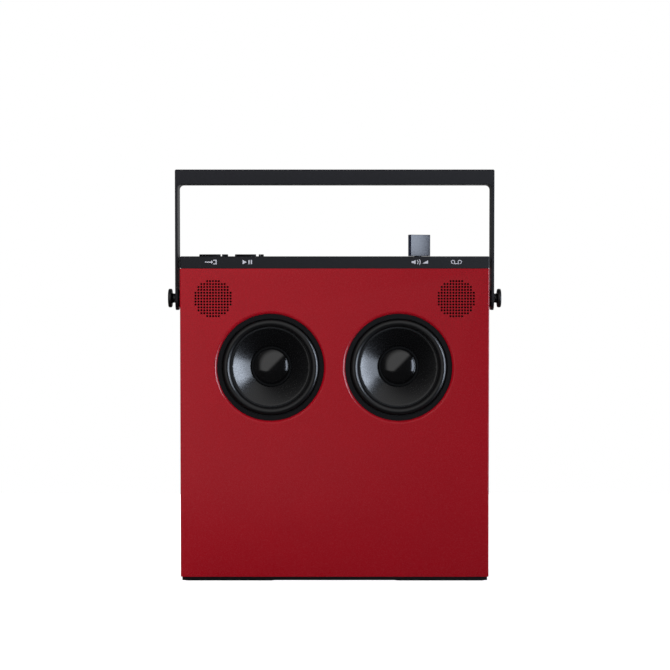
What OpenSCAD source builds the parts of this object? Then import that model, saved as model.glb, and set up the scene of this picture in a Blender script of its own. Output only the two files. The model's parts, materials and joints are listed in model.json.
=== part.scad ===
// Portable stereo player: a slim upright cabinet with two open woofers, two
// perforated tweeter fields, a control deck and a swinging carry handle.
// Millimetres. X runs to the viewer's right, Y to the back, Z up; the origin
// lies in the middle of the footprint, on the surface that the feet stand on.

/* [Cabinet] */
// Width of the cabinet
body_w = 212; // [208:1:230]
// Depth of the cabinet, from the front face to the back face
body_d = 58; // [57:1:70]
// Height of the red cabinet, between the base plate and the control deck
cabinet_h = 212.1; // [205:0.1:240]
// Thickness of the cabinet's side, top and bottom walls
wall = 3; // [2.5:0.1:3.6]
// Thickness of the cabinet's front wall, which carries the drive units
baffle_t = 6; // [5:0.1:7]
// Thickness of the perforated front panel
panel_t = 1.6; // [1.2:0.1:2]
// Radius of the upright outer edges
edge_r = 0.8; // [0.4:0.1:1.1]

/* [Base] */
// Height of the rubber feet
foot_h = 0.4; // [0.3:0.1:4]
// Length of a foot
foot_l = 62; // [40:1:70]
// Width of a foot
foot_w = 10; // [6:1:14]
// Distance from the cabinet's side to the end of a foot
foot_inset = 2.5; // [2:0.1:8]
// Distance that a foot stands back from the base plate's front or back edge
foot_setback = 0.4; // [0.2:0.1:4]
// Thickness of the base plate
base_t = 2.5; // [1:0.1:3]
// Distance that the base plate stands back from the cabinet's faces
base_inset = 0.9; // [0.8:0.1:3]
// Radius of the base plate's corners
base_corner_r = 1; // [0.5:0.1:4]

/* [Control deck] */
// Height of the control deck
deck_h = 8.4; // [7:0.1:9]
// Thickness of the deck's top
deck_skin = 2.5; // [2.2:0.1:2.8]
// Thickness of the deck's rim
deck_wall = 2.2; // [1.6:0.1:2.8]
// Radius of the deck's top edges
deck_edge_r = 1; // [0.3:0.1:1.2]
// Height of the shadow line round the foot of the deck
seam_h = 0.3; // [0.1:0.1:0.6]
// Depth of the shadow line
seam_d = 0.6; // [0.2:0.1:0.8]
// Distance from the cabinet's side to the outer controls
station_inset = 22.7; // [21:0.1:24]
// Distance between an outer and an inner control
station_pitch = 25; // [24:0.1:28]
// Diameter of a key
key_d = 20.2; // [16:0.1:20.4]
// Distance that the two keys stand outwards of their stations
key_shift = 1.5; // [0:0.1:2]
// Height of a key above the deck
key_proud = 1.4; // [1:0.1:1.6]
// Travel of a key
key_travel = 0.9; // [0.5:0.1:1]
// Width of the single groove across the input key
input_groove = 2; // [1:0.1:3]
// Width of the wide groove across the play key
play_groove = 2.6; // [1:0.1:2.8]
// Distance of the first groove from a key's middle
groove_start = 4.3; // [3:0.1:4.4]
// Radius of the half-round volume knob
knob_r = 8.8; // [7:0.1:9]
// Height of the volume knob's top above the deck
knob_h = 15.1; // [10:0.1:24]
// Angle of the knob's flat from the front, turned to the right
knob_turn = 37; // [0:1:60]
// Distance from the knob's shaft to its flat
knob_offset = 3.2; // [3.1:0.1:3.4]
// Diameter of the knob's shaft
knob_shaft_d = 5; // [4:0.1:5]
// Diameter of the reel disc
reel_d = 26.4; // [22:0.1:26.6]
// Thickness of the reel disc
reel_t = 2.8; // [2.6:0.1:3]
// Diameter of the reel's shaft
reel_shaft_d = 5; // [4:0.1:5.2]
// Diameter of the two control motors
motor_d = 20; // [16:0.5:20]
// Height of the volume motor
volume_motor_h = 20; // [16:0.5:22]
// Height of the reel motor
reel_motor_h = 16; // [12:0.5:18]

/* [Handle] */
// Distance of the pivot below the top of the deck
pivot_drop = 29.3; // [26:0.1:32]
// Distance from the pivot to the top of the handle
handle_rise = 89.6; // [80:0.1:110]
// Height of the grip bar
bar_h = 10.4; // [8:0.1:14]
// Depth of the handle, front to back
handle_d = 19.5; // [17:0.1:24]
// Thickness of the handle's arms
arm_t = 1.85; // [1.2:0.05:2.5]
// Gap between an arm and the cabinet's side
arm_gap = 3.2; // [2:0.05:6]
// Length of an arm below the pivot
arm_tail = 8.3; // [7:0.1:9.5]
// Radius of the corners at an arm's lower end
tail_r = 7; // [3:0.1:7]
// Radius of the fillet between the grip bar and an arm
bar_fillet = 3; // [1:0.1:6]
// Radius of the handle's outer top corners
bar_corner_r = 1; // [0.5:0.1:1.4]

/* [Strap studs] */
// Diameter of the stud's head
stud_head_d = 13.1; // [10:0.1:16]
// Thickness of the stud's head
stud_head_t = 2.6; // [2:0.1:4]
// Radius of the head's edges
stud_edge_r = 0.8; // [0.3:0.1:1]
// Diameter of the neck that holds a strap
neck_d = 6.5; // [6.1:0.1:8]
// Length of the neck
neck_l = 2.8; // [2.6:0.1:5]
// Diameter of the stud's shaft, on which the handle turns
stud_shaft_d = 5; // [4:0.1:5.4]
// Diameter of the pivot washer
washer_d = 12; // [10:0.1:14]
// Diameter of the threaded insert in the cabinet's side
insert_d = 8; // [7:0.1:9]
// Length of the threaded insert
insert_l = 8; // [6:0.1:8.6]

/* [Woofers] */
// Distance of a woofer's axis from the middle
woofer_x = 44; // [43.5:0.1:46]
// Distance of the woofers' axes below the cabinet's top
woofer_drop = 67.8; // [67:0.1:90]
// Width of the flange that the front panel covers
opening_lip = 1.5; // [1.2:0.1:2.2]
// Width of the bevel round the opening
bevel = 0.8; // [0.5:0.1:1.8]
// Width of the front gasket
gasket_w = 5.3; // [4.4:0.1:6]
// Thickness of the front gasket
gasket_t = 2; // [1.6:0.1:2.6]
// Radius of the basket's flange
flange_r = 39.1; // [38.6:0.1:39.6]
// Thickness of the basket's flange
flange_t = 1.2; // [1:0.1:1.6]
// Depth of the basket, from its flange to the magnet
basket_depth = 21.9; // [20:0.1:23]
// Width of a window in the basket
basket_window_w = 18; // [12:0.5:20]
// Thickness of the basket's wall
basket_t = 1.2; // [0.8:0.1:1.6]
// Thickness of the magnet
magnet_t = 10; // [6:0.5:12]
// Thickness of the plates in front of and behind the magnet
plate_t = 4; // [3:0.5:5]
// Radius of the magnet
magnet_r = 27; // [22:0.5:32]
// Radius of the half-round in the surround's roll
roll_w = 2.95; // [2.4:0.05:3.1]
// Thickness of the surround
roll_t = 0.5; // [0.3:0.05:0.7]
// Radius of the dust cap
cap_r = 13.2; // [13.1:0.1:16]
// Height of the dust cap's dome
cap_rise = 4.5; // [2:0.1:7]
// Depth of the cone from its rim to its neck
cone_depth = 8; // [7:0.1:13.6]
// Radius of the curve in the cone's wall
cone_curve_r = 100; // [30:1:200]
// Inner radius of the voice coil's former
former_r = 12.2; // [11.5:0.1:12.3]
// Travel of a cone to the front and to the back
cone_travel = 1.5; // [0.5:0.1:1.5]

/* [Tweeters] */
// Distance of the tweeters' axes below the cabinet's top
tweeter_drop = 20.6; // [20:0.1:21]
// Diameter of a hole in the perforated field
hole_d = 1.5; // [0.8:0.1:1.6]
// Distance between neighbouring holes
hole_pitch = 2; // [1.8:0.05:2.1]
// Number of hole pitches from the field's middle to its edge
field_steps = 6; // [4:1:6]
// Radius of the tweeter's flange
tweeter_r = 15.2; // [14.8:0.1:15.4]
// Radius of the tweeter's dome
dome_r = 9.4; // [8:0.1:9.6]
// Rise of the tweeter's dome
dome_rise = 2.9; // [2:0.1:3]

/* [Back] */
// Thickness of the rear cover
cover_t = 3; // [2.8:0.1:4]
// Thickness of the rear seal
seal_t = 0.8; // [0.5:0.1:1.5]
// Width of the ledge that the rear cover is screwed to
ledge_w = 8; // [7.5:0.1:10]
// Thickness of the ledge
ledge_t = 3; // [2:0.1:4]
// Radius of the bass port
port_r = 13; // [9:0.5:14]
// Thickness of the port's wall
port_wall = 2; // [1.5:0.1:2.5]
// Length of the port
port_l = 37; // [25:1:44]
// Radius of the flare at the port's mouth
port_flare = 5; // [3:0.5:7]
// Height of the port's axis above the cabinet's bottom
port_rise = 58; // [45:1:75]
// Distance of the audio jack from the cabinet's side
jack_inset = 46; // [44:0.5:48]
// Distance between the charging socket and the audio jack
socket_pitch = 20; // [18:0.5:22]
// Radius of the audio jack's bore
jack_r = 1.8; // [1.75:0.05:2]
// Length of the audio jack's bore
jack_bore_l = 13; // [12:0.5:14]

/* [Inside] */
// Diameter of a battery cell
cell_d = 18.4; // [14:0.1:18.6]
// Length of a battery cell
cell_l = 65; // [50:1:70]
// Number of battery cells
cell_count = 4; // [2:1:4]
// Depth of a cell's pocket in the cradle's ends
pocket_depth = 8; // [4:1:12]
// Width of the main board
board_w = 72; // [66:1:76]
// Depth of the main board
board_d = 40; // [34:1:42]
// Height of the main board above the cabinet's floor
board_rise = 12; // [10:0.5:16]
// Thickness of the circuit boards
board_t = 1.6; // [1.2:0.1:2]
// Number of fins on the heat sink
fin_count = 7; // [4:1:9]

/* [Screws] */
// Diameter of a screw's shank
screw_d = 2.5; // [2:0.1:2.8]
// Diameter of a screw's head
screw_head_d = 4.8; // [4.2:0.1:5.2]
// Height of a screw's head
screw_head_h = 1.5; // [1:0.1:1.8]
// Width across the corners of a screw's hexagonal socket
socket_d = 2.4; // [1.5:0.1:3]
// Length of a rear cover screw's shank
cover_screw_l = 11; // [9:0.5:12]
// Length of a woofer screw's shank
woofer_screw_l = 7.5; // [6:0.5:8]
// Length of a board screw's shank
board_screw_l = 8; // [6:0.5:9]

/* [Fits] */
// Gap between separate mouldings
fit_gap = 0.3; // [0.2:0.05:0.35]
// Running clearance on a shaft or a sliding face
run_gap = 0.05; // [0.02:0.01:0.1]

/* [Hidden] */
$fn = 64;
// Overshoot of a cutting shape past the face that it opens
cut = 1;

// Levels along Z
base_z = foot_h;
cabinet_z = base_z + base_t;
deck_z = cabinet_z + cabinet_h;
top_z = deck_z + deck_h;
floor_z = cabinet_z + wall;
ceiling_z = deck_z - wall;
cavity_mid_z = (floor_z + ceiling_z) / 2;
cavity_h = ceiling_z - floor_z;
deck_under_z = top_z - deck_skin;
pivot_z = top_z - pivot_drop;
woofer_z = deck_z - woofer_drop;
tweeter_z = deck_z - tweeter_drop;

// Planes across Y and the cabinet's cavity
front_y = -body_d / 2;
back_y = body_d / 2;
shell_front_y = front_y + panel_t;
baffle_back_y = shell_front_y + baffle_t;
cover_y = back_y - cover_t;
seal_y = cover_y - seal_t;
ledge_y = seal_y - ledge_t;
cavity_w = body_w - 2 * wall;

// Stations of the controls: outer ones over the tweeters, inner ones beside them
outer_x = body_w / 2 - station_inset;
inner_x = outer_x - station_pitch;
key_x = [-outer_x - key_shift, -inner_x - key_shift];

// Depths into the cabinet, counted from the front face
baffle_back = panel_t + baffle_t;
gasket_back = panel_t + gasket_t;
lip_t = 0.4;
lip_front = gasket_back + run_gap;
flange_front = lip_front + lip_t + run_gap;
flange_back = flange_front + flange_t;

// Woofer: basket, motor and moving parts
opening_r = flange_r - opening_lip;
gasket_r = flange_r - gasket_w;
roll_r = gasket_r - fit_gap - run_gap;
seat_r = flange_r + fit_gap;
ear_reach = flange_r + screw_head_d / 2 + fit_gap;
ear_r = 3 * screw_d / 2;
basket_r = flange_r - 2.8;
basket_neck_r = former_r + 11.8;
basket_back = flange_front + basket_depth;
cup_front = flange_front + basket_depth / 5;
shelf_t = basket_t;
shelf_w = 2;
shelf_depth = basket_back - 6;
plate_r = basket_neck_r - 0.5;
woofer_back = basket_back + 2 * plate_t + magnet_t;
coil_gap_r = former_r + 1.25;
pole_r = former_r - 0.45;
former_t = 0.3;
winding_t = 0.45;
roll_mid_r = roll_r - roll_w;
rim_front = lip_front + lip_t + 0.15;
rim_t = 0.8;
rim_in_r = roll_mid_r - roll_w - 0.95;
cone_t = 0.8;
neck_in_r = former_r + former_t + run_gap;
neck_l_cone = 1.2;
cone_back = rim_front + cone_depth;
cone_foot_r = neck_in_r + 0.4;
// The wall is an arc from the rim to the neck, about a centre behind and outside it
cone_run = rim_in_r - cone_foot_r;
cone_chord = sqrt(cone_run ^ 2 + cone_depth ^ 2);
cone_apothem = sqrt(cone_curve_r ^ 2 - (cone_chord / 2) ^ 2);
cone_centre_r = (rim_in_r + cone_foot_r) / 2 + cone_apothem * cone_depth / cone_chord;
cone_centre_depth = rim_front + cone_depth / 2 + cone_apothem * cone_run / cone_chord;
cap_depth = cone_centre_depth - sqrt(cone_curve_r ^ 2 - (cone_centre_r - cap_r) ^ 2);
cap_t = 0.5;

// Tweeter
mesh_t = 0.4;
mesh_back = panel_t + mesh_t;
tweeter_seat = mesh_back + 2.2;
tweeter_body_r = dome_r + 3.3;
dome_base = mesh_back + dome_rise + 0.9;
dome_t = 0.4;
tweeter_back = dome_base + 3.4;
tweeter_magnet_t = 6;

// Handle and pivot, counted outwards from the cabinet's side
arm_in = body_w / 2 + arm_gap;
arm_out = arm_in + arm_t;
handle_top_z = pivot_z + handle_rise;
bar_under_z = handle_top_z - bar_h;
insert_boss_r = insert_d / 2 + 2.5;
neck_start = arm_gap + arm_t + run_gap;

// Controls
key_hole_r = key_d / 2 + fit_gap;
key_flange_r = key_hole_r + 0.9;
key_flange_t = 1;
key_top_z = top_z + key_proud;
deck_board_t = 1.2;
deck_gap = 0.5;
deck_board_z = deck_z + deck_board_t;
knob_base_z = top_z + 2 * run_gap;
knob_shaft_top_z = top_z + knob_h - 3.4;
shaft_bottom_z = ceiling_z - 12;
nose_r = 4.2;
reel_floor_t = 2.3;
reel_recess_z = top_z - reel_t - fit_gap;
reel_boss_z = reel_recess_z - reel_floor_t;

// Screws
pilot_r = screw_d / 2 + run_gap;
clear_r = screw_d / 2 + fit_gap;
head_r = screw_head_d / 2;
post_r = 4;
cover_screw_x = cavity_w / 2 - 4.5;
cover_screw_z = cavity_h / 2 - 4.5;
cover_screws = [for (i = [-1:1], j = [-1:1]) if (i != 0 || j != 0) [i * cover_screw_x, j * cover_screw_z]];
deck_post_r = 3.2;
deck_screw_x = outer_x + 7.5;
deck_screw_rows = [baffle_back_y + head_r + 3, ledge_y - head_r - 1.8];
deck_screw_l = wall + deck_h - deck_skin - 1;
deck_screws_at = [for (x = [-1, -2 / 7, 2 / 7, 1] * deck_screw_x, y = deck_screw_rows) [x, y]];

// Connectors, boards and battery
jack_x = body_w / 2 - jack_inset;
usb_x = jack_x - socket_pitch;
board_x = cavity_w / 2 - ledge_w - board_w / 2 - 0.5;
board_y = seal_y - board_d / 2 - 0.6;
board_z = floor_z + board_rise;
board_top_z = board_z + board_t;
board_corner = 4;
board_screws_at = [
    for (i = [-1, 1], j = [-1, 1])
        [board_x + i * (board_w / 2 - board_corner), board_y + j * (board_d / 2 - board_corner)]
];
chip_h = 1.5;
amplifier_x = board_x + 0.3 * board_w;
amplifier_w = 18;
processor_w = 14;
fin_h = 10;
usb_w = 8.9;
usb_h = 3.3;
usb_wall = 0.3;
usb_l = 9.4;
usb_z = board_top_z + usb_h / 2;
jack_nose_r = jack_r + 1.2;
jack_body_w = 2 * jack_nose_r + 1.2;
jack_z = board_top_z + jack_nose_r + 0.2;
socket_y = back_y - 0.5;
window_side = 13;
window_w = socket_pitch + 2 * window_side;
window_h = usb_h + 0.8 * window_side;
window_x = (usb_x + jack_x) / 2;
window_z = board_top_z + 0.2 * window_side;
lip = 2;
insert_plate_t = cover_t / 3;
cell_pitch = cell_d + 0.8;
terminal = 1;
cradle_wall = 2.4;
cradle_w = cell_l + terminal + 2 * cradle_wall + 2 * run_gap;
cradle_d = cell_d + 2 * cradle_wall;
cradle_h = cell_count * cell_pitch + 2 * cradle_wall;
cradle_x = 4 + cradle_w / 2 - cavity_w / 2;
cradle_y = baffle_back_y + 1.5 + cradle_d / 2;
port_z = cabinet_z + port_rise;

// ---------------------------------------------------------------- helpers

// Children drawn from the front face into the cabinet, depth along +Z.
module into_cabinet(x, z) translate([x, front_y, z]) rotate([-90, 0, 0]) children();

// Children drawn outwards from a cabinet side at the pivot, +Z away from the side.
module out_of_side(side) translate([side * body_w / 2, 0, pivot_z]) rotate([0, side * 90, 0]) children();

// A front elevation (X, Z) drawn through the depth from y0 to y1.
module through_depth(y0, y1) translate([0, y1, 0]) rotate([90, 0, 0]) linear_extrude(y1 - y0) children();

// A side elevation (Y, Z) drawn across the width from x0 to x1.
module across_width(x0, x1) translate([x0, 0, 0]) rotate([90, 0, 90]) linear_extrude(x1 - x0) children();

module ring(r_out, r_in, z0, z1) translate([0, 0, z0]) difference() {
    cylinder(h = z1 - z0, r = r_out);
    translate([0, 0, -cut]) cylinder(h = z1 - z0 + 2 * cut, r = r_in);
}

module rod(r, z0, z1) translate([0, 0, z0]) cylinder(h = z1 - z0, r = r);

module round_rect(w, h, r) {
    square([w - 2 * r, h], center = true);
    square([w, h - 2 * r], center = true);
    for (i = [-1, 1], j = [-1, 1]) translate([i * (w / 2 - r), j * (h / 2 - r)]) circle(r);
}

// The waste outside a rounded corner whose sharp point is the origin.
module corner_waste(r) difference() {
    translate([-cut, -cut]) square(r + cut);
    translate([r, r]) circle(r);
}

// Plan of the cabinet between two planes, with its outer edges rounded where asked.
module plan(y0, y1, front_r, back_r) difference() {
    translate([-body_w / 2, y0]) square([body_w, y1 - y0]);
    for (side = [0, 1]) mirror([side, 0]) translate([-body_w / 2, 0]) {
        if (front_r > 0) translate([0, y0]) corner_waste(front_r);
        if (back_r > 0) translate([0, y1]) mirror([0, 1]) corner_waste(back_r);
    }
}

// A screw whose head rests on z = 0 and whose shank runs down from it.
module screw(length) difference() {
    union() {
        rod(screw_d / 2, -length, screw_head_h / 2);
        rod(head_r, 0, screw_head_h);
    }
    translate([0, 0, screw_head_h * 0.4]) cylinder(h = screw_head_h, d = socket_d, $fn = 6);
}

// ---------------------------------------------------------------- cabinet

module front_panel() color("crimson") difference() {
    translate([0, 0, cabinet_z]) linear_extrude(cabinet_h) plan(front_y, shell_front_y, edge_r, 0);
    for (side = [-1, 1]) {
        into_cabinet(side * woofer_x, woofer_z) woofer_opening();
        into_cabinet(side * outer_x, tweeter_z) perforations();
    }
}

// The bevelled opening in front of a woofer.
module woofer_opening() {
    slope = bevel / panel_t;
    translate([0, 0, -cut]) cylinder(
        h = panel_t + 2 * cut,
        r1 = opening_r + cut * slope,
        r2 = opening_r - bevel - cut * slope
    );
}

// A square grid of holes, kept where it falls inside a circle.
module perforations() {
    reach = field_steps + 0.5;
    for (i = [-field_steps:field_steps], j = [-field_steps:field_steps])
        if (i * i + j * j <= reach * reach)
            translate([i * hole_pitch, j * hole_pitch, -cut])
                cylinder(h = panel_t + 2 * cut, d = hole_d, $fn = 16);
}

module cabinet_shell() color("firebrick") difference() {
    union() {
        difference() {
            translate([0, 0, cabinet_z]) linear_extrude(cabinet_h) plan(shell_front_y, back_y, 0, edge_r);
            translate([-cavity_w / 2, baffle_back_y, floor_z]) cube([cavity_w, body_d, cavity_h]);
        }
        rear_ledge();
        for (side = [-1, 1]) {
            out_of_side(side) rod(insert_boss_r, -insert_l - 1.5, -wall / 2);
            into_cabinet(side * woofer_x, woofer_z) ears() rod(3, baffle_back - cut, flange_back + 8.6);
        }
        for (p = board_screws_at) translate([p[0], p[1]]) rod(3, floor_z - wall / 2, board_z);
    }
    for (side = [-1, 1]) {
        into_cabinet(side * woofer_x, woofer_z) woofer_seat();
        into_cabinet(side * outer_x, tweeter_z) tweeter_seat_cut();
        out_of_side(side) rod(insert_d / 2 + run_gap, -insert_l - run_gap, cut);
    }
    for (p = cover_screws) translate([p[0], 0, cavity_mid_z + p[1]])
        rotate([-90, 0, 0]) rod(pilot_r, ledge_y - 8.6, cover_y);
    for (p = deck_screws_at) translate([p[0], p[1]]) rod(clear_r, ceiling_z - cut, deck_z + cut);
    for (p = board_screws_at) translate([p[0], p[1]]) rod(pilot_r, board_z - 8.6, board_z + cut);
    for (x = [inner_x, outer_x]) translate([x, 0]) rod(nose_r + fit_gap, ceiling_z - cut, deck_z + cut);
}

// The inner ledge and screw posts that the rear cover lands on.
module rear_ledge() {
    through_depth(ledge_y, seal_y) translate([0, cavity_mid_z]) difference() {
        square([cavity_w + wall, cavity_h + wall], center = true);
        square([cavity_w - 2 * ledge_w, cavity_h - 2 * ledge_w], center = true);
    }
    for (p = cover_screws) translate([p[0], 0, cavity_mid_z + p[1]])
        rotate([-90, 0, 0]) rod(post_r, ledge_y - 10, ledge_y + cut);
}

// The four ear positions round a woofer.
module ears() for (a = [45:90:315]) rotate(a) translate([ear_reach, 0]) children();

module flange_outline(r, ear) {
    circle(r);
    ears() circle(ear);
    for (a = [45, 135]) rotate(a) square([2 * ear_reach, 2 * ear], center = true);
}

module woofer_seat() {
    linear_extrude(flange_back) flange_outline(seat_r, ear_r + fit_gap);
    rod(basket_r + fit_gap, flange_back - cut, baffle_back + cut);
    ears() rod(pilot_r, flange_back - cut, flange_back + 7);
}

module tweeter_seat_cut() {
    rod(tweeter_r + fit_gap, 0, tweeter_seat);
    rod(tweeter_body_r + fit_gap, tweeter_seat - cut, baffle_back + cut);
}

module base_plate() color("#222226") translate([0, 0, base_z]) linear_extrude(base_t)
    round_rect(body_w - 2 * base_inset, body_d - 2 * base_inset, base_corner_r);

module feet() color("#1a1a1c") for (i = [-1, 1], j = [-1, 1])
    translate([
        i * (body_w / 2 - foot_inset - foot_l / 2),
        j * (body_d / 2 - base_inset - foot_setback - foot_w / 2)
    ]) linear_extrude(foot_h) round_rect(foot_l, foot_w, 3);

// ---------------------------------------------------------------- back

module rear_cover() color("#2a2a2e") difference() {
    through_depth(cover_y, back_y) translate([0, cavity_mid_z])
        round_rect(cavity_w - 2 * fit_gap, cavity_h - 2 * fit_gap, 1);
    for (p = cover_screws) translate([p[0], 0, cavity_mid_z + p[1]]) rotate([-90, 0, 0]) {
        rod(clear_r, cover_y - cut, back_y + cut);
        rod(head_r + fit_gap, back_y - screw_head_h - 0.1, back_y + cut);
    }
    translate([0, 0, port_z]) rotate([-90, 0, 0]) {
        rod(port_mouth_r() + 0.7, cover_y - cut, back_y + cut);
        rod(port_flange_r() + fit_gap, back_y - 1.5, back_y + cut);
    }
    through_depth(cover_y - cut, back_y + cut)
        translate([window_x, window_z]) round_rect(window_w, window_h, 1.5);
    through_depth(back_y - insert_plate_t, back_y + cut) translate([window_x, window_z])
        round_rect(window_w + 2 * lip + 2 * fit_gap, window_h + 2 * lip + 2 * fit_gap, 2);
}

module rear_seal() color("#111113") difference() {
    through_depth(seal_y, cover_y) translate([0, cavity_mid_z]) difference() {
        square([cavity_w - 2 * fit_gap, cavity_h - 2 * fit_gap], center = true);
        square([cavity_w - 2 * ledge_w, cavity_h - 2 * ledge_w], center = true);
    }
    for (p = cover_screws) translate([p[0], 0, cavity_mid_z + p[1]]) rotate([-90, 0, 0])
        rod(clear_r, seal_y - cut, cover_y + cut);
}

function port_mouth_r() = port_r + port_flare;
function port_flange_r() = port_mouth_r() + 3;

// The bass port: a tube that flares out to a flange sunk in the rear cover.
module port_tube() color("#1d1d20") translate([0, back_y, port_z]) rotate([90, 0, 0]) rotate_extrude() {
    translate([port_r, port_flare]) square([port_wall, port_l - port_flare]);
    translate([port_mouth_r(), 0]) square([port_flange_r() - port_mouth_r(), 1.5]);
    intersection() {
        translate([port_r, 0]) square(port_flare);
        translate([port_mouth_r(), port_flare]) difference() {
            circle(port_flare);
            circle(port_flare - port_wall);
        }
    }
}

module connector_plate() color("#3a3a40") difference() {
    union() {
        through_depth(cover_y, back_y) translate([window_x, window_z])
            round_rect(window_w - 2 * fit_gap, window_h - 2 * fit_gap, 1.2);
        through_depth(back_y - insert_plate_t, back_y) translate([window_x, window_z])
            round_rect(window_w + 2 * lip, window_h + 2 * lip, 1.7);
    }
    through_depth(cover_y - cut, back_y + cut) translate([usb_x, usb_z])
        round_rect(usb_w + 2 * fit_gap, usb_h + 2 * fit_gap, usb_h / 2);
    translate([jack_x, 0, jack_z]) rotate([-90, 0, 0]) rod(jack_nose_r + fit_gap, cover_y - cut, back_y + cut);
}

// Charging socket: an oblong steel shell with a contact tongue on a block.
module usb_socket() color("silver") translate([usb_x, 0, usb_z]) {
    through_depth(socket_y - usb_l, socket_y) difference() {
        round_rect(usb_w, usb_h, usb_h / 2 - 0.01);
        round_rect(usb_w - 2 * usb_wall, usb_h - 2 * usb_wall, usb_h / 2 - usb_wall - 0.01);
    }
    through_depth(socket_y - usb_l, socket_y - usb_l + 2.6)
        round_rect(usb_w - usb_wall, usb_h - usb_wall, usb_h / 2 - usb_wall);
    through_depth(socket_y - usb_l + 1, socket_y - 1) square([6.6, 0.7], center = true);
}

module audio_jack() color("#18181a") difference() {
    union() {
        translate([jack_x - jack_body_w / 2, socket_y - jack_bore_l - 1, board_top_z])
            cube([jack_body_w, jack_bore_l + 1 - cover_t, 2 * jack_nose_r]);
        translate([jack_x, 0, jack_z]) rotate([-90, 0, 0]) rod(jack_nose_r, socket_y - cover_t - 1, socket_y);
    }
    translate([jack_x, 0, jack_z]) rotate([-90, 0, 0]) rod(jack_r, socket_y - jack_bore_l, socket_y + cut);
}

// ---------------------------------------------------------------- pivots

// Strap stud: a shaft for the handle, then a waisted neck and a round head.
module pivot_stud(side) color("#17171a") out_of_side(side) rotate_extrude() {
    waist = min(1.2, neck_l / 2 - 0.1);
    translate([0, -insert_l + 1]) square([stud_shaft_d / 2, insert_l - 1 + neck_start + cut]);
    translate([0, neck_start]) {
        square([neck_d / 2, neck_l + cut]);
        difference() {
            square([neck_d / 2 + waist, neck_l]);
            translate([neck_d / 2 + waist, waist]) circle(waist);
            translate([neck_d / 2 + waist, neck_l - waist]) circle(waist);
            translate([neck_d / 2, waist]) square([2 * waist, neck_l - 2 * waist]);
        }
        translate([0, neck_l]) square([stud_head_d / 2 - stud_edge_r, stud_head_t]);
        translate([0, neck_l + stud_edge_r]) square([stud_head_d / 2, stud_head_t - 2 * stud_edge_r]);
        for (z = [stud_edge_r, stud_head_t - stud_edge_r])
            translate([stud_head_d / 2 - stud_edge_r, neck_l + z]) circle(stud_edge_r);
    }
}

module pivot_stud_left() pivot_stud(-1);
module pivot_stud_right() pivot_stud(1);

module pivot_washers() color("#101012") for (side = [-1, 1])
    out_of_side(side) ring(washer_d / 2, stud_shaft_d / 2 + run_gap, 0, arm_gap - run_gap);

module pivot_inserts() color("goldenrod") for (side = [-1, 1])
    out_of_side(side) ring(insert_d / 2, stud_shaft_d / 2 + run_gap, -insert_l, 0);

// The carry handle: one bent piece with a thick grip bar between two flat arms.
module handle() color("#29272f") difference() {
    intersection() {
        through_depth(-handle_d / 2, handle_d / 2) handle_elevation();
        across_width(-arm_out - cut, arm_out + cut) translate([0, (handle_top_z + pivot_z - arm_tail) / 2])
            handle_side(handle_d, handle_top_z - pivot_z + arm_tail);
    }
    across_width(-arm_out - cut, arm_out + cut) translate([0, pivot_z]) circle(stud_shaft_d / 2 + run_gap);
}

module handle_elevation() difference() {
    union() {
        translate([-arm_out, pivot_z - arm_tail]) square([2 * arm_out, handle_rise + arm_tail - bar_corner_r]);
        translate([-arm_out + bar_corner_r, handle_top_z - bar_h])
            square([2 * (arm_out - bar_corner_r), bar_h]);
        for (i = [-1, 1])
            translate([i * (arm_out - bar_corner_r), handle_top_z - bar_corner_r]) circle(bar_corner_r);
    }
    translate([-arm_in, pivot_z - arm_tail - cut])
        square([2 * arm_in, bar_under_z - bar_fillet - pivot_z + arm_tail + cut]);
    translate([-arm_in + bar_fillet, pivot_z]) square([2 * (arm_in - bar_fillet), bar_under_z - pivot_z]);
    for (i = [-1, 1]) translate([i * (arm_in - bar_fillet), bar_under_z - bar_fillet]) circle(bar_fillet);
}

// Side view of an arm: round at its lower end, softly rounded along the grip.
module handle_side(w, h) {
    top_r = bar_corner_r;
    translate([-w / 2, -h / 2 + tail_r]) square([w, h - tail_r - top_r]);
    translate([-w / 2 + top_r, h / 2 - 2 * top_r]) square([w - 2 * top_r, 2 * top_r]);
    translate([-w / 2 + tail_r, -h / 2]) square([w - 2 * tail_r, 2 * tail_r]);
    for (i = [-1, 1]) {
        translate([i * (w / 2 - tail_r), -h / 2 + tail_r]) circle(tail_r);
        translate([i * (w / 2 - top_r), h / 2 - top_r]) circle(top_r);
    }
}

// ---------------------------------------------------------------- woofers

// The basket: a flange with four ears, an open cup, a shelf for the spider and a floor
// that carries the magnet.
module woofer_basket(side) color("#2c2c30") into_cabinet(side * woofer_x, woofer_z) difference() {
    inner_r = basket_neck_r - basket_t;
    union() {
        rotate_extrude() polygon([
            [basket_r - basket_t, flange_front], [flange_r, flange_front], [flange_r, flange_back],
            [basket_r, flange_back], [basket_r, cup_front + basket_t / 2], [basket_neck_r, shelf_depth],
            [basket_neck_r, basket_back], [coil_gap_r + 0.4, basket_back],
            [coil_gap_r + 0.4, basket_back - basket_t], [inner_r, basket_back - basket_t],
            [inner_r, shelf_depth + shelf_t], [inner_r - shelf_w, shelf_depth + shelf_t],
            [inner_r - shelf_w, shelf_depth], [inner_r, shelf_depth],
            [basket_r - basket_t, cup_front]
        ]);
        translate([0, 0, flange_front]) linear_extrude(flange_t) difference() {
            flange_outline(flange_r, ear_r);
            circle(flange_r - basket_t);
        }
    }
    for (a = [0:60:300]) rotate(a)
        translate([inner_r - shelf_w, -basket_window_w / 2, cup_front + 2 * basket_t])
        cube([basket_r, basket_window_w, shelf_depth - cup_front - 4 * basket_t]);
    ears() rod(clear_r, flange_front - cut, flange_back + cut);
}

module woofer_basket_left() woofer_basket(-1);
module woofer_basket_right() woofer_basket(1);

module woofer_gasket(side) color("#1b1b1d") into_cabinet(side * woofer_x, woofer_z)
    ring(flange_r, gasket_r, panel_t, gasket_back);

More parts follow.
